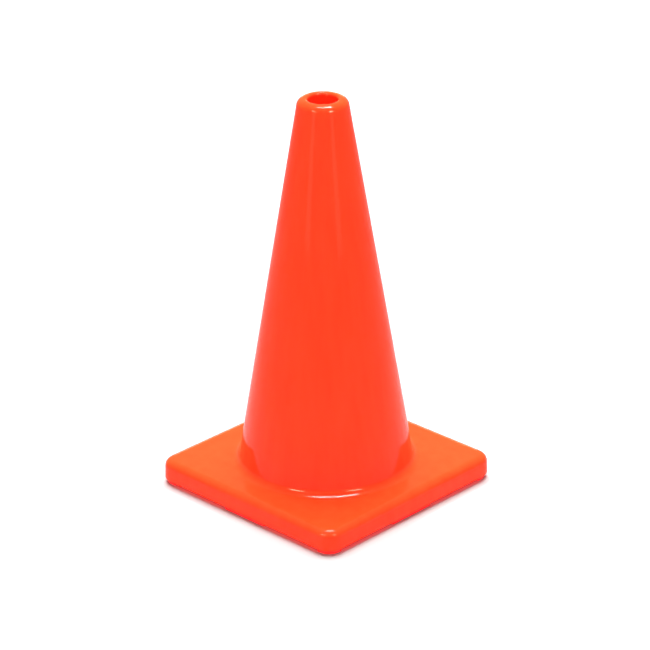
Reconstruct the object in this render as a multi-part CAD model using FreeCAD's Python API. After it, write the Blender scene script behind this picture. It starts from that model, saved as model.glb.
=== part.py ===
import FreeCAD, Part
import math
import os

# A PVC traffic cone: an orange skin over a heavy base slab on eight feet. Millimetres, +Z up.
# The origin is the centre of the plane that the feet stand on.

# Overall size
height = 457.2            # an 18 inch cone
base_side = 268.0         # at the lower edge of the skirt
base_top = 28.5           # flat top of the base above the ground
skirt_bottom = 5.0        # lower edge of the skirt above the ground

# Outer shape of the skin
foot_radius = 98.3        # cone wall carried down to the base's top plane
tip_radius = 27.3         # cone wall carried up to the full height
foot_blend = 9.5          # concave round between cone and base
base_corner = 19.0        # corners of the base, seen from above
base_edge_round = 9.0     # top edge of the base
skirt_edge_round = 1.4    # lower edge of the skirt
skirt_draft = 1.8         # degrees that the skirt leans in towards its top

# Wall of the skin
skin = 3.0                # base top and skirt
wall = 3.2                # cone wall
lip_outer_round = 8.2
lip_inner_round = 2.8
bore_radius = 16.4        # hole through the lip
bore_low = 443.0          # lower end of the hole's straight wall
thick_end = 400.0         # where the thick tip has tapered down to the plain wall

# Ribs inside the wall that keep stacked cones from jamming
rib_count = 8
rib_low = 60.0
rib_high = 150.0
rib_depth = 1.2
rib_angle = 2.4

# Ballast slab
ballast_bottom = 6.5

# Feet
foot_gap = 0.3            # between a foot's outside and the inside of the skirt
side_foot_length = 67.0
side_foot_depth = 16.0
side_foot_ramp = 3.0      # how far each end slopes in towards the ground
corner_foot_side = 20.0
foot_chamfer = 1.2
plug_height = 6.0         # the part of a foot that is let into the ballast
plug_margin = 4.0         # from a foot's edge to its plug
corner_plug_radius = 4.0

# Working allowances
overrun = 5.0             # how far a cutting shape runs past the face that it cuts
lap = 1.0                 # how far two shapes overlap before they are fused
level_tolerance = 1e-4
place_tolerance = 1e-3

base_half = base_side / 2
foot_half = base_half - skin - foot_gap
slope = (foot_radius - tip_radius) / (height - base_top)
wall_lean = math.atan(slope)


def outer_radius(z):
    """Radius of the cone's outside at a height."""
    return tip_radius + slope * (height - z)


def inner_radius(z):
    """Radius of the cone's inside at a height, below the thick tip."""
    return outer_radius(z) - wall / math.cos(wall_lean)


def point(radius, z):
    return FreeCAD.Vector(radius, 0, z)


def arc(centre_radius, centre_z, radius, start, end):
    """Arc edge in the XZ plane, with its angles in radians from +X towards +Z."""
    ends = []
    for angle in (start, (start + end) / 2, end):
        ends.append(point(centre_radius + radius * math.cos(angle), centre_z + radius * math.sin(angle)))
    return Part.Arc(*ends).toShape()


def joined(pieces):
    """Closed wire from arcs, with a straight line wherever one piece's end isn't the next one's start."""
    edges = []
    for index, piece in enumerate(pieces):
        following = pieces[(index + 1) % len(pieces)]
        if isinstance(piece, Part.Edge):
            edges.append(piece)
            start = piece.lastVertex(True).Point
        else:
            start = piece
        end = following.firstVertex(True).Point if isinstance(following, Part.Edge) else following
        if start.distanceToPoint(end) > place_tolerance:
            edges.append(Part.makeLine(start, end))
    return Part.Wire(edges)


def revolved(pieces, angle=360):
    face = Part.Face(joined(pieces))
    return face.revolve(FreeCAD.Vector(0, 0, 0), FreeCAD.Vector(0, 0, 1), angle)


def turned(shape, quarter_turns):
    copy = shape.copy()
    copy.rotate(FreeCAD.Vector(0, 0, 0), FreeCAD.Vector(0, 0, 1), 90 * quarter_turns)
    return copy


def rounded_square(half, corner, z):
    """Level wire round a square with rounded corners, centred on the axis."""
    edges = []
    for turns in range(4):
        side = Part.makeLine(
            FreeCAD.Vector(corner - half, -half, z),
            FreeCAD.Vector(half - corner, -half, z))
        centre = FreeCAD.Vector(half - corner, corner - half, z)
        bend = Part.makeCircle(corner, centre, FreeCAD.Vector(0, 0, 1), 270, 360)
        edges += [turned(side, turns), turned(bend, turns)]
    return Part.Wire(edges)


def rounded_block(half, corner, low, high):
    """Square block with rounded upright edges whose sides lean in with the skirt's draft.

    The half side is the one at the skirt's lower edge, whatever the block's own height.
    """
    outlines = []
    for z in (low, high):
        lean = (z - skirt_bottom) * math.tan(math.radians(skirt_draft))
        outlines.append(rounded_square(half - lean, corner - lean, z))
    return Part.makeLoft(outlines, True, True)


def edges_at(shape, z):
    """Edges that lie in one level plane."""
    found = []
    for edge in shape.Edges:
        box = edge.BoundBox
        if abs(box.ZMin - z) < level_tolerance and abs(box.ZMax - z) < level_tolerance:
            found.append(edge)
    return found


def cone_outside():
    blend_reach = foot_blend * math.tan((math.pi / 2 - wall_lean) / 2)
    blend_centre_radius = foot_radius + blend_reach
    blend_centre_z = base_top + foot_blend
    lip_centre_z = height - lip_outer_round
    lip_centre_radius = outer_radius(lip_centre_z) - lip_outer_round / math.cos(wall_lean)
    return revolved([
        point(0, base_top - skin),
        point(blend_centre_radius, base_top - skin),
        arc(blend_centre_radius, blend_centre_z, foot_blend, -math.pi / 2, -math.pi + wall_lean),
        arc(lip_centre_radius, lip_centre_z, lip_outer_round, wall_lean, math.pi / 2),
        point(0, height),
    ])


def cone_inside():
    """The hollow of the cone, from below the skirt up through the hole in the lip."""
    mouth_centre_radius = bore_radius + lip_inner_round
    below = skirt_bottom - overrun
    return revolved([
        point(0, below),
        point(inner_radius(below), below),
        point(inner_radius(thick_end), thick_end),
        point(bore_radius, bore_low),
        arc(mouth_centre_radius, height - lip_inner_round, lip_inner_round, math.pi, math.pi / 2),
        point(mouth_centre_radius, height + overrun),
        point(0, height + overrun),
    ])


def base_cavity():
    """The space under the base's skin, inside the skirt."""
    top = base_top - skin
    block = rounded_block(base_half - skin, base_corner - skin, skirt_bottom - overrun, top)
    return block.makeFillet(base_edge_round - skin, edges_at(block, top))


def stacking_ribs():
    ribs = []
    for index in range(rib_count):
        band = revolved([
            point(inner_radius(rib_low) + wall / 2, rib_low),
            point(inner_radius(rib_high) + wall / 2, rib_high),
            point(inner_radius(rib_high), rib_high),
            point(inner_radius(rib_high) - rib_depth, rib_high - 2 * rib_depth),
            point(inner_radius(rib_low) - rib_depth, rib_low + 2 * rib_depth),
            point(inner_radius(rib_low), rib_low),
        ], rib_angle)
        turn = 360 / rib_count * (index + 0.5) - rib_angle / 2
        band.rotate(FreeCAD.Vector(0, 0, 0), FreeCAD.Vector(0, 0, 1), turn)
        ribs.append(band)
    return ribs


def cone_skin():
    base = rounded_block(base_half, base_corner, skirt_bottom, base_top)
    base = base.makeFillet(base_edge_round, edges_at(base, base_top))
    base = base.makeFillet(skirt_edge_round, edges_at(base, skirt_bottom))
    solid = base.fuse(cone_outside()).removeSplitter()
    solid = solid.cut(base_cavity()).cut(cone_inside())
    return solid.fuse(stacking_ribs()).removeSplitter()


def side_foot():
    """Foot under the middle of the side that faces -Y."""
    front = -foot_half
    top = side_foot_length / 2
    bottom = top - side_foot_ramp
    outline = Part.makePolygon([
        FreeCAD.Vector(-top, front, ballast_bottom),
        FreeCAD.Vector(-bottom, front, 0),
        FreeCAD.Vector(bottom, front, 0),
        FreeCAD.Vector(top, front, ballast_bottom),
        FreeCAD.Vector(-top, front, ballast_bottom),
    ])
    pad = Part.Face(outline).extrude(FreeCAD.Vector(0, side_foot_depth, 0))
    pad = pad.makeChamfer(foot_chamfer, edges_at(pad, 0))
    plug_depth = side_foot_depth - 2 * plug_margin
    plug_half = bottom - plug_margin
    corner = FreeCAD.Vector(-plug_half, front + plug_margin, ballast_bottom - lap)
    plug = Part.makeBox(2 * plug_half, plug_depth, plug_height + lap, corner)
    return pad.fuse(plug).removeSplitter()


def corner_foot():
    """Foot under the corner at +X -Y, whose outside follows the skirt."""
    side = corner_foot_side
    rounds = {(1, -1): base_corner - skin - foot_gap, (-1, 1): side / 2}
    middle = foot_half - side / 2
    pad = Part.makeBox(side, side, ballast_bottom, FreeCAD.Vector(middle - side / 2, -middle - side / 2, 0))
    for (across, along), radius in rounds.items():
        upright = []
        for edge in pad.Edges:
            offset = edge.CenterOfMass - FreeCAD.Vector(middle, -middle, ballast_bottom / 2)
            if offset.distanceToPoint(FreeCAD.Vector(across * side / 2, along * side / 2, 0)) < place_tolerance:
                upright.append(edge)
        pad = pad.makeFillet(radius, upright)
    pad = pad.makeChamfer(foot_chamfer, edges_at(pad, 0))
    plug_foot = FreeCAD.Vector(middle, -middle, ballast_bottom - lap)
    plug = Part.makeCylinder(corner_plug_radius, plug_height + lap, plug_foot)
    return pad.fuse(plug).removeSplitter()


def feet():
    """Four corner feet and four side feet, by name."""
    named = {}
    for turns, corner in enumerate(("front_right", "back_right", "back_left", "front_left")):
        named["corner_foot_" + corner] = turned(corner_foot(), turns)
    for turns, side in enumerate(("front", "right", "back", "left")):
        named["side_foot_" + side] = turned(side_foot(), turns)
    return named


def base_ballast(foot_shapes):
    """Heavy slab that fills the base under the skin, open round the cone's hollow."""
    above_bottom = Part.makeBox(
        2 * base_side, 2 * base_side, height,
        FreeCAD.Vector(-base_side, -base_side, ballast_bottom))
    slab = base_cavity().common(above_bottom).cut(cone_inside())
    return slab.cut(foot_shapes)


def write_parts():
    os.makedirs("parts", exist_ok=True)
    nodes = feet()
    nodes["base_ballast"] = base_ballast(list(nodes.values()))
    nodes["cone_skin"] = cone_skin()
    for name, shape in nodes.items():
        solid = shape.Solids[0] if len(shape.Solids) == 1 else shape
        solid.exportStep(os.path.join("parts", name + ".step"))
        print(name, len(shape.Solids), "solid", round(solid.Volume / 1000, 2), "cm3", solid.isValid())


write_parts()
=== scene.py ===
import math

import bpy
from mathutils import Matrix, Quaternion, Vector


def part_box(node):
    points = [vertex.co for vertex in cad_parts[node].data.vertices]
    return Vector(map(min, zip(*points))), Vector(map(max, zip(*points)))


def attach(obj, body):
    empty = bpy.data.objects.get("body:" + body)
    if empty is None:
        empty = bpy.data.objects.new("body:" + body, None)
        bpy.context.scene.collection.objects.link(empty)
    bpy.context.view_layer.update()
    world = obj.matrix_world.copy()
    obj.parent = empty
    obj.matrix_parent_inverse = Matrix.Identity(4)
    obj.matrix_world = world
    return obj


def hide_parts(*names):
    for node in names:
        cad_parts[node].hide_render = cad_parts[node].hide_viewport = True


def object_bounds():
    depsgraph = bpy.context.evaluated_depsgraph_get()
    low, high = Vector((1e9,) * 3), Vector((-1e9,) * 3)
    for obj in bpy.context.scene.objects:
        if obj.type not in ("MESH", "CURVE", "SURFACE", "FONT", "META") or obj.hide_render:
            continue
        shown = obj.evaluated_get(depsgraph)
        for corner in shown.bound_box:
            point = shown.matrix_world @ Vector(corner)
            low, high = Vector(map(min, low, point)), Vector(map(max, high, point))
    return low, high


# The looks of a PVC traffic cone. All lengths are metres, in the part's own frame:
# +Z up, with the origin on the ground under the cone's axis.

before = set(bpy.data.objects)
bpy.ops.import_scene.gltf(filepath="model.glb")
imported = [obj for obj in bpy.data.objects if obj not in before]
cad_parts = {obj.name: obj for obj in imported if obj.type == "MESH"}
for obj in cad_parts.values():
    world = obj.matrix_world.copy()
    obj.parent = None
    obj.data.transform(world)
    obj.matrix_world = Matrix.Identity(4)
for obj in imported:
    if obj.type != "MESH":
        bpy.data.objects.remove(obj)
cad_low, cad_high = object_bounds()
skin_low, skin_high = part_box("cone_skin")
ballast_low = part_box("base_ballast")[0]
side_foot_low, side_foot_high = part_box("side_foot_front")
corner_foot_low, corner_foot_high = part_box("corner_foot_front_right")

MM = 0.001
HEIGHT = cad_high.z
BASE_HALF = skin_high.x
SKIRT_BOTTOM = skin_low.z

# Outer shape of the skin, as designed
BASE_TOP = 28.5 * MM
FOOT_RADIUS = 98.3 * MM
TIP_RADIUS = 27.3 * MM
FOOT_BLEND = 9.5 * MM
BASE_CORNER = 19 * MM
BASE_EDGE_ROUND = 9 * MM
SKIRT_EDGE_ROUND = 1.4 * MM
SKIRT_INNER_ROUND = 0.6 * MM
DRAFT = math.radians(1.8)

# Walls of the skin
SKIN = 3 * MM
WALL = 3.2 * MM
LIP_OUTER_ROUND = 8.2 * MM
LIP_INNER_ROUND = 2.8 * MM
BORE_RADIUS = 16.4 * MM
BORE_LOW = 443 * MM
THICK_END = 400 * MM
HOLLOW_ROUND = 2 * MM          # where the hollow runs out under the slab

# Ribs that keep stacked cones apart
RIB_COUNT = 8
RIB_LOW = 60 * MM
RIB_HIGH = 150 * MM
RIB_DEPTH = 1.2 * MM
RIB_EASE = 3 * MM              # length over which a rib rises out of the wall
RIB_TOP_ANGLE = math.radians(1.15)
RIB_FOOT_ANGLE = math.radians(1.7)

# Slab and feet
SEAM = 0.05 * MM               # air between the slab and the skin that it fills
SLAB_ROUND = 1.5 * MM
FOOT_RAMP = 3 * MM
FOOT_EDGE_ROUND = 1.2 * MM
FOOT_CORNER = 2.5 * MM
PLUG_HEIGHT = 6 * MM
PLUG_MARGIN = 4 * MM
CORNER_PLUG_RADIUS = 4 * MM
CORNER_PLUG_EASE = 0.1 * MM    # off the round plug's arcs, so that they don't meet in double points
PLUG_PLAY = 0.05 * MM          # between a plug and its pocket
FOOT_BEVEL = 0.5 * MM          # at a plug's tip and round a pad's top
LEAST_ROUND = 0.2 * MM         # smallest corner left on a ring that is drawn in

SLOPE = (FOOT_RADIUS - TIP_RADIUS) / (HEIGHT - BASE_TOP)
LEAN = math.atan(SLOPE)
CORNER_CENTRE = BASE_HALF - BASE_CORNER

# Columns round the skin and the slab, for one side and one corner of the square
SIDE_STEPS = 36
CORNER_STEPS = 12
QUARTER = SIDE_STEPS + CORNER_STEPS
COLUMNS = 4 * QUARTER
ARC_STEP = math.radians(7.5)
SHARP_ANGLE = math.radians(38)

# Rows along straight stretches, and points round a foot
BORE_STEPS = 5
WALL_STEPS = 48
RIB_STEPS = 6
HOLLOW_STEPS = 12
TIP_STEPS = 6
SLAB_STEPS = 4
RING_CORNER_STEPS = 6
FOOT_EDGE_STEPS = 5
MOUTH_BAND = 10 * MM           # first row of the hollow above the base's skin
TOP_SHARES = (0.12, 0.3, 0.5, 0.7, 0.88)
OUTWARD_SHARES = (0.2, 0.5, 0.8)
INWARD_SHARES = (0.8, 0.5, 0.2)

# Camera
CAMERA_AZIMUTH = 44.2
CAMERA_ELEVATION = 24.2
CAMERA_ROLL = -0.55
CAMERA_DISTANCE = 3.5
CAMERA_SHIFT = (0.000615, -0.048923)   # in picture widths
SENSOR_WIDTH = 36                  # millimetres, as the camera takes it
LENS = 176.4                       # millimetres too

AIM = Vector((0, 0, HEIGHT / 2))   # what the camera and the boxes face
WARM = (1.0, 0.84, 0.55)           # light from every box but the top one


# ---------------------------------------------------------------- camera and light

def direction(azimuth, elevation):
    """Unit vector towards a place in the studio, in degrees.

    Azimuth 0 is on the camera's side and grows to its right.
    """
    turn = math.radians(CAMERA_AZIMUTH + azimuth)
    rise = math.radians(elevation)
    return Vector((math.sin(turn) * math.cos(rise), -math.cos(turn) * math.cos(rise), math.sin(rise)))


def add_camera():
    back = direction(0, CAMERA_ELEVATION)
    data = bpy.data.cameras.new("camera")
    camera = bpy.data.objects.new("camera", data)
    bpy.context.scene.collection.objects.link(camera)
    camera.location = AIM + back * CAMERA_DISTANCE
    camera.rotation_mode = "QUATERNION"
    roll = Quaternion((0, 0, 1), math.radians(CAMERA_ROLL))
    camera.rotation_quaternion = (-back).to_track_quat("-Z", "Y") @ roll
    data.sensor_width = SENSOR_WIDTH
    data.lens = LENS
    data.shift_x, data.shift_y = CAMERA_SHIFT
    data.clip_start = 0.1
    data.clip_end = 100
    bpy.context.scene.camera = camera


def add_box_light(name, place, size, radiance, tint=(1, 1, 1), turn=0.0):
    """Soft box facing the middle of the cone, which is only seen mirrored and lights no matt surface.

    The place is an azimuth, an elevation and a distance, and the size is a width and a height.
    The radiance is how bright the box looks, and the turn is in degrees about the line to the cone.
    """
    azimuth, elevation, distance = place
    data = bpy.data.lights.new(name, "AREA")
    data.shape = "RECTANGLE"
    data.size, data.size_y = size
    data.energy = radiance * math.pi * data.size * data.size_y
    data.color = tint
    light = bpy.data.objects.new(name, data)
    light.visible_camera = False
    light.visible_diffuse = False
    bpy.context.scene.collection.objects.link(light)
    back = direction(azimuth, elevation)
    light.location = AIM + back * distance
    light.rotation_mode = "QUATERNION"
    light.rotation_quaternion = back.to_track_quat("Z", "Y") @ Quaternion((0, 0, 1), math.radians(turn))


def add_wide_light(name, azimuth, elevation, spread, strength):
    """Even light from a wide patch of the studio, which isn't seen mirrored in the gloss."""
    data = bpy.data.lights.new(name, "SUN")
    data.energy = strength
    data.angle = math.radians(spread)
    light = bpy.data.objects.new(name, data)
    light.visible_glossy = False
    bpy.context.scene.collection.objects.link(light)
    light.rotation_mode = "QUATERNION"
    light.rotation_quaternion = direction(azimuth, elevation).to_track_quat("Z", "Y")


def add_world(seen, mirrored, felt):
    """A backdrop with one colour to look at, one for mirror images and one for the light that it gives."""
    world = bpy.data.worlds.new("studio")
    bpy.context.scene.world = world
    world.use_nodes = True
    nodes = world.node_tree.nodes
    links = world.node_tree.links
    ray = nodes.new("ShaderNodeLightPath")
    shown = nodes["Background"]
    shown.inputs["Color"].default_value = (*felt, 1)
    for colour, when in ((mirrored, "Is Glossy Ray"), (seen, "Is Camera Ray")):
        other = nodes.new("ShaderNodeBackground")
        other.inputs["Color"].default_value = (*colour, 1)
        choice = nodes.new("ShaderNodeMixShader")
        links.new(ray.outputs[when], choice.inputs["Fac"])
        links.new(shown.outputs[0], choice.inputs[1])
        links.new(other.outputs[0], choice.inputs[2])
        shown = choice
    links.new(shown.outputs[0], nodes["World Output"].inputs["Surface"])


def add_floor(half_side, whiteness, mirrored):
    """White floor, which mirror images show as a dimmer disc that darkens away from the cone.

    The mirrored brightness is a list of (distance from the cone's axis, grey value) stops.
    """
    mesh = bpy.data.meshes.new("floor")
    corners = [(x * half_side, y * half_side, 0) for x, y in ((-1, -1), (1, -1), (1, 1), (-1, 1))]
    mesh.from_pydata(corners, [], [(0, 1, 2, 3)])
    floor = bpy.data.objects.new("floor", mesh)
    bpy.context.scene.collection.objects.link(floor)
    n = Nodes("floor_white")
    n.set(Base_Color=(whiteness, whiteness, whiteness, 1), Roughness=0.6, Specular_IOR_Level=0.0)
    nodes = n.tree.nodes
    links = n.tree.links
    away = nodes.new("ShaderNodeVectorMath")
    away.operation = "LENGTH"
    links.new(n.place, away.inputs[0])
    reach = mirrored[-1][0]
    share = nodes.new("ShaderNodeMath")
    share.operation = "DIVIDE"
    share.inputs[1].default_value = reach
    links.new(away.outputs["Value"], share.inputs[0])
    dim = nodes.new("ShaderNodeBsdfDiffuse")
    stops = [(distance / reach, grey) for distance, grey in mirrored]
    links.new(n.ramp(share.outputs[0], *stops), dim.inputs["Color"])
    ray = nodes.new("ShaderNodeLightPath")
    choice = nodes.new("ShaderNodeMixShader")
    links.new(ray.outputs["Is Glossy Ray"], choice.inputs["Fac"])
    links.new(n.shader.outputs["BSDF"], choice.inputs[1])
    links.new(dim.outputs["BSDF"], choice.inputs[2])
    links.new(choice.outputs["Shader"], nodes["Material Output"].inputs["Surface"])
    mesh.materials.append(n.material)


# ---------------------------------------------------------------- materials

class Nodes:
    """Short names for building one material's node tree."""

    def __init__(self, name):
        self.material = bpy.data.materials.new(name)
        self.material.use_nodes = True
        self.tree = self.material.node_tree
        self.shader = self.tree.nodes["Principled BSDF"]
        self.place = self.tree.nodes.new("ShaderNodeTexCoord").outputs["Object"]

    def set(self, **values):
        for socket, value in values.items():
            self.shader.inputs[socket.replace("_", " ")].default_value = value

    def link(self, output, socket):
        self.tree.links.new(output, self.shader.inputs[socket])

    def stretched(self, across, along):
        """Object coordinates, with the number of repeats per metre across and along the cone's axis."""
        node = self.tree.nodes.new("ShaderNodeMapping")
        node.inputs["Scale"].default_value = (across, across, along)
        self.tree.links.new(self.place, node.inputs["Vector"])
        return node.outputs["Vector"]

    def noise(self, vector, detail=3, roughness=0.5):
        node = self.tree.nodes.new("ShaderNodeTexNoise")
        node.inputs["Scale"].default_value = 1
        node.inputs["Detail"].default_value = detail
        node.inputs["Roughness"].default_value = roughness
        self.tree.links.new(vector, node.inputs["Vector"])
        return node.outputs["Fac"]

    def ramp(self, factor, *stops):
        """Colour ramp through (place, colour or grey value) stops."""
        node = self.tree.nodes.new("ShaderNodeValToRGB")
        ramp = node.color_ramp
        while len(ramp.elements) < len(stops):
            ramp.elements.new(0.5)
        for element, (place, value) in zip(ramp.elements, stops):
            element.position = place
            element.color = (value, value, value, 1) if isinstance(value, float) else (*value, 1)
        self.tree.links.new(factor, node.inputs["Fac"])
        return node.outputs["Color"]

    def bump(self, height, distance, strength, under=None):
        node = self.tree.nodes.new("ShaderNodeBump")
        node.inputs["Distance"].default_value = distance
        node.inputs["Strength"].default_value = strength
        self.tree.links.new(height, node.inputs["Height"])
        if under is not None:
            self.tree.links.new(under, node.inputs["Normal"])
        return node.outputs["Normal"]


def orange_pvc():
    """Glossy PVC: faint colour drift, long flow marks down the wall, and a fine orange peel.

    In this and the two materials below, a red emission is painted light: the parts glow though they are no
    lamp, which stands in for fluorescence and lifts the red in shade; the slab glows most and lights the
    floor under the base red.
    """
    n = Nodes("orange_pvc")
    drift = n.noise(n.stretched(80, 2), detail=3)
    n.link(n.ramp(drift, (0.32, (1.0, 0.049, 0.0085)), (0.68, (1.0, 0.056, 0.0110))), "Base Color")
    handled = n.noise(n.stretched(26, 14), detail=5, roughness=0.6)
    n.link(n.ramp(handled, (0.35, 0.04), (0.75, 0.07)), "Roughness")
    flow = n.bump(n.noise(n.stretched(55, 5), detail=2), distance=0.0006, strength=0.05)
    peel = n.noise(n.stretched(700, 700), detail=1)
    n.link(n.bump(peel, distance=0.00003, strength=0.08, under=flow), "Normal")
    # Painted glow: red emission, not a lamp, standing in for fluorescence and lifting the red in shade.
    n.set(IOR=1.34, Emission_Color=(1.0, 0.009, 0.006, 1), Emission_Strength=0.5)
    return n.material


def ballast_pvc():
    """Filled, reground PVC: mottled, satin, with a cast grain."""
    n = Nodes("ballast_pvc")
    mottle = n.noise(n.stretched(60, 60), detail=6, roughness=0.7)
    n.link(n.ramp(mottle, (0.3, (0.62, 0.035, 0.022)), (0.7, (0.85, 0.060, 0.040))), "Base Color")
    n.link(n.ramp(mottle, (0.3, 0.45), (0.7, 0.62)), "Roughness")
    grain = n.noise(n.stretched(380, 380), detail=4)
    n.link(n.bump(grain, distance=0.0003, strength=0.5), "Normal")
    # Painted glow: a strong red emission, no lamp, that lights the floor under the base red.
    n.set(IOR=1.4, Emission_Color=(1.0, 0.015, 0.015, 1), Emission_Strength=1.4)
    return n.material


def foot_pvc():
    """Soft red PVC with a satin, slightly scuffed face; its red, deeper and darker than the skin's, is partly
    painted shade.
    """
    n = Nodes("foot_pvc")
    scuff = n.noise(n.stretched(120, 60), detail=6, roughness=0.7)
    # The deep, dark red is partly painted shade: the feet's look in the shade under the base, put into their
    # colour.
    n.link(n.ramp(scuff, (0.35, (0.90, 0.022, 0.016)), (0.75, (0.98, 0.035, 0.026))), "Base Color")
    n.link(n.ramp(scuff, (0.35, 0.38), (0.75, 0.6)), "Roughness")
    grain = n.noise(n.stretched(900, 900), detail=2)
    n.link(n.bump(grain, distance=0.0001, strength=0.4), "Normal")
    # Painted glow: red emission, not a lamp, that lifts the red of the feet in the shade under the base.
    n.set(IOR=1.4, Emission_Color=(1.0, 0.018, 0.022, 1), Emission_Strength=0.6)
    return n.material


# ---------------------------------------------------------------- profiles

def outer_radius(z):
    return TIP_RADIUS + SLOPE * (HEIGHT - z)


def inner_radius(z):
    return outer_radius(z) - WALL / math.cos(LEAN)


def arc(centre, centre_z, radius, start, end):
    """(distance, z) points along a round, both ends included."""
    steps = max(2, round(abs(end - start) / ARC_STEP))
    points = []
    for step in range(steps + 1):
        angle = start + (end - start) * step / steps
        points.append((centre + radius * math.cos(angle), centre_z + radius * math.sin(angle)))
    return points


def line(start, end, steps):
    """Points between two others, neither end included."""
    inner = []
    for step in range(1, steps):
        share = step / steps
        inner.append(tuple(a + (b - a) * share for a, b in zip(start, end)))
    return inner


def skirt_reach(z, inset=0.0):
    """Corner radius of the square outline of the skirt's side at a height, inside or outside."""
    return BASE_CORNER - inset - (z - SKIRT_BOTTOM) * math.tan(DRAFT)


def side_round(z_centre, radius, inset=0.0):
    """Corner radius at the centre of a round that the drafted side runs into."""
    return skirt_reach(z_centre, inset) - radius / math.cos(DRAFT)


# A row is ("round", radius, z), ("square", corner radius, z) or ("between", radius, corner radius, share, z).

def rounds(points):
    return [("round", radius, z) for radius, z in points]


def squares(points):
    return [("square", reach, z) for reach, z in points]


def between(radius, reach, z, shares):
    return [("between", radius, reach, share, z) for share in shares]


def lip_rows():
    mouth = BORE_RADIUS + LIP_INNER_ROUND
    centre_z = HEIGHT - LIP_OUTER_ROUND
    centre = outer_radius(centre_z) - LIP_OUTER_ROUND / math.cos(LEAN)
    inner = arc(mouth, HEIGHT - LIP_INNER_ROUND, LIP_INNER_ROUND, math.pi, math.pi / 2)
    outer = arc(centre, centre_z, LIP_OUTER_ROUND, math.pi / 2, LEAN)
    bore = line((BORE_RADIUS, BORE_LOW), inner[0], BORE_STEPS)
    return rounds(bore + inner + outer)


def wall_rows():
    reach = FOOT_BLEND * math.tan((math.pi / 2 - LEAN) / 2)
    blend = arc(FOOT_RADIUS + reach, BASE_TOP + FOOT_BLEND, FOOT_BLEND, LEAN - math.pi, -math.pi / 2)
    top_z = HEIGHT - LIP_OUTER_ROUND + LIP_OUTER_ROUND * math.sin(LEAN)
    wall = line((outer_radius(top_z), top_z), blend[0], WALL_STEPS)
    return rounds(wall + blend)


def base_rows():
    """From the foot of the cone over the flat top, down the skirt, and up its inside."""
    blend_end = FOOT_RADIUS + FOOT_BLEND * math.tan((math.pi / 2 - LEAN) / 2)
    top_round_z = BASE_TOP - BASE_EDGE_ROUND
    top_round = side_round(top_round_z, BASE_EDGE_ROUND)
    rows = between(blend_end, top_round, BASE_TOP, TOP_SHARES)
    rows += squares(arc(top_round, top_round_z, BASE_EDGE_ROUND, math.pi / 2, DRAFT))
    low_round_z = SKIRT_BOTTOM + SKIRT_EDGE_ROUND
    low_round = side_round(low_round_z, SKIRT_EDGE_ROUND)
    rows += squares(arc(low_round, low_round_z, SKIRT_EDGE_ROUND, DRAFT, -math.pi / 2))
    inner_z = SKIRT_BOTTOM + SKIRT_INNER_ROUND
    inner = skirt_reach(inner_z, SKIN) + SKIRT_INNER_ROUND
    rows += squares(arc(inner, inner_z, SKIRT_INNER_ROUND, -math.pi / 2, -math.pi))
    under_round = BASE_EDGE_ROUND - SKIN
    under_z = BASE_TOP - SKIN - under_round
    under = side_round(under_z, under_round, SKIN)
    rows += squares(arc(under, under_z, under_round, DRAFT, math.pi / 2))
    hollow = inner_radius(BASE_TOP - SKIN)
    rows += between(hollow, under, BASE_TOP - SKIN, INWARD_SHARES)
    return rows


def hollow_rows():
    """Up the inside of the cone, past the ribs and the thick tip, to the bore."""
    low = BASE_TOP - SKIN
    rib_start = RIB_LOW + RIB_EASE
    rib_length = RIB_HIGH - RIB_LOW - 2 * RIB_EASE
    heights = [low, low + MOUTH_BAND, RIB_LOW - RIB_EASE, RIB_LOW, rib_start]
    heights += [rib_start + rib_length * step / RIB_STEPS for step in range(1, RIB_STEPS)]
    heights += [RIB_HIGH - RIB_EASE, RIB_HIGH, RIB_HIGH + RIB_EASE]
    plain_length = THICK_END - RIB_HIGH
    heights += [RIB_HIGH + plain_length * step / HOLLOW_STEPS for step in range(1, HOLLOW_STEPS + 1)]
    wall = [(inner_radius(z), z) for z in heights]
    tip = line((inner_radius(THICK_END), THICK_END), (BORE_RADIUS, BORE_LOW), TIP_STEPS)
    return rounds(wall + tip + [(BORE_RADIUS, BORE_LOW)])


def slab_rows():
    """The slab under the skin.

    The rows are listed up the outside, over the top and down the hollow, and returned the other
    way round, so that the faces look outwards.
    """
    bottom = ballast_low.z
    top = BASE_TOP - SKIN - SEAM
    under_round = BASE_EDGE_ROUND - SKIN
    under_z = top - under_round
    inset = SKIN + SEAM
    low_z = bottom + SLAB_ROUND
    outside = side_round(low_z, SLAB_ROUND, inset)
    under = side_round(under_z, under_round, inset)
    hollow_top = inner_radius(top) + HOLLOW_ROUND
    hollow_low = inner_radius(bottom) + HOLLOW_ROUND
    rows = squares(arc(outside, low_z, SLAB_ROUND, -math.pi / 2, DRAFT))
    rows += squares(arc(under, under_z, under_round, DRAFT, math.pi / 2))
    rows += between(hollow_top, under, top, INWARD_SHARES)
    rows += rounds([(hollow_top, top), (inner_radius(top), top)])
    rows += rounds(line((inner_radius(top), top), (inner_radius(low_z), low_z), SLAB_STEPS))
    rows += rounds(arc(hollow_low, bottom + HOLLOW_ROUND, HOLLOW_ROUND, math.pi, 3 * math.pi / 2))
    rows += between(hollow_low, outside, bottom, OUTWARD_SHARES)
    return rows[::-1]


# ---------------------------------------------------------------- meshes

def square_point(column, reach):
    """Point on the square outline whose rounded corners have that radius."""
    quarter, step = divmod(column, QUARTER)
    if step <= SIDE_STEPS:
        x = CORNER_CENTRE * (2 * step / SIDE_STEPS - 1)
        y = -CORNER_CENTRE - reach
    else:
        angle = math.pi / 2 * (step - SIDE_STEPS) / CORNER_STEPS
        x = CORNER_CENTRE + reach * math.sin(angle)
        y = -CORNER_CENTRE - reach * math.cos(angle)
    for _ in range(quarter):
        x, y = -y, x
    return x, y


def column_angle(column):
    return math.tau * (column - SIDE_STEPS / 2) / COLUMNS - math.pi / 2


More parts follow.
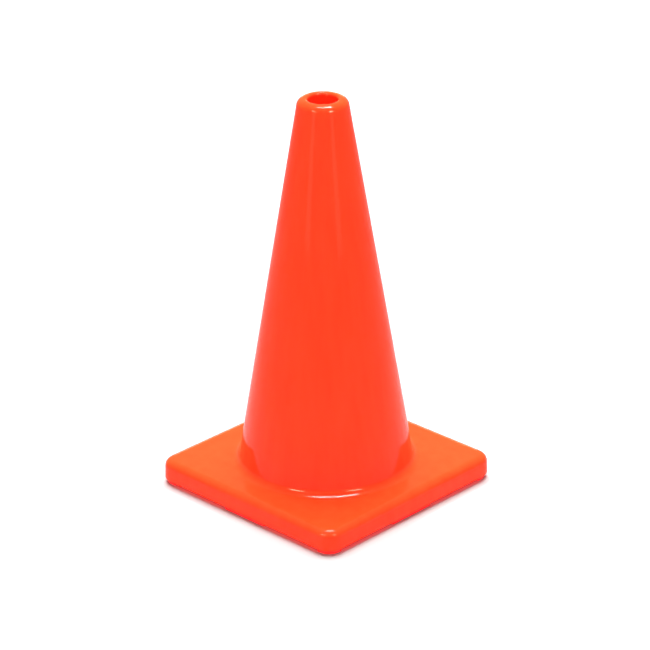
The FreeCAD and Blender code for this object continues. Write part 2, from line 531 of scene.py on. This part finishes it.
def rib_share(z):
    """How far the ribs stand up at a height, from 0 to 1."""
    rise = min(z - RIB_LOW, RIB_HIGH - z) / RIB_EASE
    return min(1.0, max(0.0, rise))


def ribbed(column, radius, z):
    """Angle and radius of a point of the hollow's wall, with the columns near a rib drawn up to it."""
    spacing = COLUMNS // RIB_COUNT
    offset = (column - SIDE_STEPS // 2 + spacing // 2) % spacing
    offset = offset - spacing if offset > spacing // 2 else offset
    angle = column_angle(column)
    moves = {0: 0.0, 1: RIB_TOP_ANGLE, 2: RIB_FOOT_ANGLE}
    if abs(offset) in moves:
        plain = math.tau * offset / COLUMNS
        angle += math.copysign(moves[abs(offset)], offset) - plain
    if abs(offset) <= 1:
        radius -= RIB_DEPTH * rib_share(z)
    return angle, radius


def row_point(row, column, ribs):
    kind, *sizes, z = row
    if kind == "square":
        return (*square_point(column, sizes[0]), z)
    angle = column_angle(column)
    radius = sizes[0]
    if kind == "round":
        if ribs:
            angle, radius = ribbed(column, radius, z)
        return (radius * math.cos(angle), radius * math.sin(angle), z)
    reach, share = sizes[1:]
    x, y = square_point(column, reach)
    return (
        radius * math.cos(angle) * (1 - share) + x * share,
        radius * math.sin(angle) * (1 - share) + y * share,
        z)


def finished(name, points, faces, material, slot, *nodes):
    """Smooth mesh object that stands for the CAD nodes it names."""
    mesh = bpy.data.meshes.new(name)
    mesh.from_pydata(points, [], faces)
    mesh.validate()
    mesh.polygons.foreach_set("use_smooth", [True] * len(mesh.polygons))
    mesh.set_sharp_from_angle(angle=SHARP_ANGLE)
    mesh.materials.append(material)
    piece = bpy.data.objects.new(name, mesh)
    bpy.context.scene.collection.objects.link(piece)
    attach(piece, "root")
    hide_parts(*nodes)
    return piece


def ring_body(name, rows, ribbed_rows, material, slot, node):
    """Closed body swept round the axis: each row is a ring, and the last joins the first."""
    points = []
    for index, row in enumerate(rows):
        for column in range(COLUMNS):
            points.append(row_point(row, column, index in ribbed_rows))
    faces = []
    for index in range(len(rows)):
        this = index * COLUMNS
        following = (index + 1) % len(rows) * COLUMNS
        for column in range(COLUMNS):
            beside = (column + 1) % COLUMNS
            faces.append((this + column, following + column, following + beside, this + beside))
    return finished(name, points, faces, material, slot, node)


def make_skin(material):
    outside = lip_rows() + wall_rows() + base_rows()
    inside = hollow_rows()
    ribbed_rows = range(len(outside), len(outside) + len(inside))
    ring_body("skin", outside + inside, ribbed_rows, material, "orange_pvc", "cone_skin")


def make_slab(material):
    return ring_body("ballast_slab", slab_rows(), (), material, "ballast_pvc", "base_ballast")


def rounded_rectangle(low, high, corners, inset, z):
    """Ring round a rectangle whose four corners have their own rounds, from the lowest corner on."""
    signs = ((-1, -1), (1, -1), (1, 1), (-1, 1))
    ring = []
    for index, (across, along) in enumerate(signs):
        radius = max(corners[index] - inset, LEAST_ROUND)
        x = (high[0] - inset - radius) if across > 0 else (low[0] + inset + radius)
        y = (high[1] - inset - radius) if along > 0 else (low[1] + inset + radius)
        for step in range(RING_CORNER_STEPS + 1):
            angle = math.pi + (index + step / RING_CORNER_STEPS) * math.pi / 2
            ring.append(Vector((x + radius * math.cos(angle), y + radius * math.sin(angle), z)))
    return ring


def plug_outline(low, high, margins, corner, inset, z):
    """Ring round the plug of a foot whose pad lies between two corners."""
    plug_low = (low[0] + margins[0], low[1] + margins[1])
    plug_high = (high[0] - margins[0], high[1] - margins[1])
    return rounded_rectangle(plug_low, plug_high, [corner] * 4, inset, z)


def foot_rings(low, high, corners, ramp, plug):
    """Rings from the top of a foot's plug down to the ground."""
    pad_top = ballast_low.z
    rings = [
        plug_outline(low, high, *plug, FOOT_BEVEL, pad_top + PLUG_HEIGHT),
        plug_outline(low, high, *plug, 0, pad_top + PLUG_HEIGHT - FOOT_BEVEL),
        plug_outline(low, high, *plug, 0, pad_top),
        rounded_rectangle(low, high, corners, FOOT_BEVEL, pad_top),
    ]
    levels = [(0, pad_top - FOOT_BEVEL), (0, FOOT_EDGE_ROUND)]
    for step in range(1, FOOT_EDGE_STEPS + 1):
        angle = math.pi / 2 * step / FOOT_EDGE_STEPS
        levels.append((FOOT_EDGE_ROUND * (1 - math.cos(angle)), FOOT_EDGE_ROUND * (1 - math.sin(angle))))
    for inset, z in levels:
        drawn = ramp * (pad_top - z) / pad_top
        pad_low = (low[0] + drawn, low[1])
        pad_high = (high[0] - drawn, high[1])
        rings.append(rounded_rectangle(pad_low, pad_high, corners, inset, z))
    return rings


def pocket_rings(low, high, plug):
    """Rings of the shape that cuts the pocket for a foot's plug out of the slab."""
    top = ballast_low.z + PLUG_HEIGHT + PLUG_PLAY
    below = ballast_low.z - PLUG_HEIGHT
    return [plug_outline(low, high, *plug, -PLUG_PLAY, z) for z in (top, below)]


def lofted(rings, turns, first=0):
    """Points and faces of a closed body through equal rings, top ring first, after some quarter turns.

    The faces number the points from first on.
    """
    points = []
    for ring in rings:
        for x, y, z in ring:
            for _ in range(turns):
                x, y = -y, x
            points.append((x, y, z))
    count = len(rings[0])
    faces = [tuple(range(first, first + count))]
    for index in range(len(rings) - 1):
        this = first + index * count
        following = this + count
        for step in range(count):
            beside = (step + 1) % count
            faces.append((this + step, following + step, following + beside, this + beside))
    last = first + (len(rings) - 1) * count
    faces.append(tuple(reversed(range(last, last + count))))
    return points, faces


def cut_pockets(slab, shapes):
    """Cut the pockets for every plug, each shape being repeated on all four sides."""
    points = []
    faces = []
    for rings in shapes:
        for turns in range(4):
            more_points, more_faces = lofted(rings, turns, len(points))
            points += more_points
            faces += more_faces
    mesh = bpy.data.meshes.new("pockets")
    mesh.from_pydata(points, [], faces)
    cutter = bpy.data.objects.new("pockets", mesh)
    bpy.context.scene.collection.objects.link(cutter)
    cut = slab.modifiers.new("pockets", "BOOLEAN")
    cut.operation = "DIFFERENCE"
    cut.solver = "EXACT"
    cut.object = cutter
    depsgraph = bpy.context.evaluated_depsgraph_get()
    pocketed = bpy.data.meshes.new_from_object(slab.evaluated_get(depsgraph))
    slab.modifiers.clear()
    slab.data = pocketed
    pocketed.set_sharp_from_angle(angle=SHARP_ANGLE)
    bpy.data.objects.remove(cutter)


def make_feet_and_slab(foot_material, slab_material):
    slab = make_slab(slab_material)
    side_box = (side_foot_low.xy, side_foot_high.xy)
    side_plug = ((PLUG_MARGIN + FOOT_RAMP, PLUG_MARGIN), FOOT_CORNER)
    side = foot_rings(*side_box, [FOOT_CORNER] * 4, FOOT_RAMP, side_plug)
    for turns, where in enumerate(("front", "right", "back", "left")):
        finished("foot_" + where, *lofted(side, turns), foot_material, "foot_pvc", "side_foot_" + where)
    corner_box = (corner_foot_low.xy, corner_foot_high.xy)
    size = corner_foot_high.x - corner_foot_low.x
    outer = BASE_CORNER - (BASE_HALF - corner_foot_high.x)
    margin = size / 2 - CORNER_PLUG_RADIUS
    corner_plug = ((margin, margin), CORNER_PLUG_RADIUS - CORNER_PLUG_EASE)
    corner = foot_rings(*corner_box, [FOOT_CORNER, outer, FOOT_CORNER, size / 2], 0, corner_plug)
    for turns, where in enumerate(("front_right", "back_right", "back_left", "front_left")):
        finished("foot_" + where, *lofted(corner, turns), foot_material, "foot_pvc", "corner_foot_" + where)
    cut_pockets(slab, [pocket_rings(*side_box, side_plug), pocket_rings(*corner_box, corner_plug)])


add_camera()
add_world(seen=(1.05, 1.05, 1.05), mirrored=(0.56, 0.53, 0.28), felt=(0.12, 0.12, 0.12))
add_floor(half_side=30, whiteness=0.47, mirrored=((0.2, 0.28), (0.6, 0.17), (2.0, 0.11)))
add_wide_light("ceiling", azimuth=180, elevation=70, spread=46, strength=8.4)
add_wide_light("fill", azimuth=0, elevation=30, spread=50, strength=1.0)
add_box_light("top_box", place=(122, 84.6, 2.0), size=(1.05, 0.26), radiance=70, turn=58)
add_box_light("left_box", place=(-39, 24, 2.2), size=(0.65, 0.32), radiance=42, tint=WARM)
add_box_light("right_box", place=(36, 24, 2.2), size=(0.65, 0.32), radiance=48, tint=WARM)
add_box_light("left_strip", place=(-39, 2, 2.4), size=(0.55, 0.5), radiance=0.9, tint=WARM)
add_box_light("right_strip", place=(36, 2, 2.4), size=(0.55, 0.5), radiance=0.9, tint=WARM)
add_box_light("rear_box", place=(180, 9, 2.2), size=(0.9, 0.25), radiance=6, tint=WARM)

make_skin(orange_pvc())
make_feet_and_slab(foot_pvc(), ballast_pvc())

bpy.context.scene.view_settings.view_transform = "Standard"
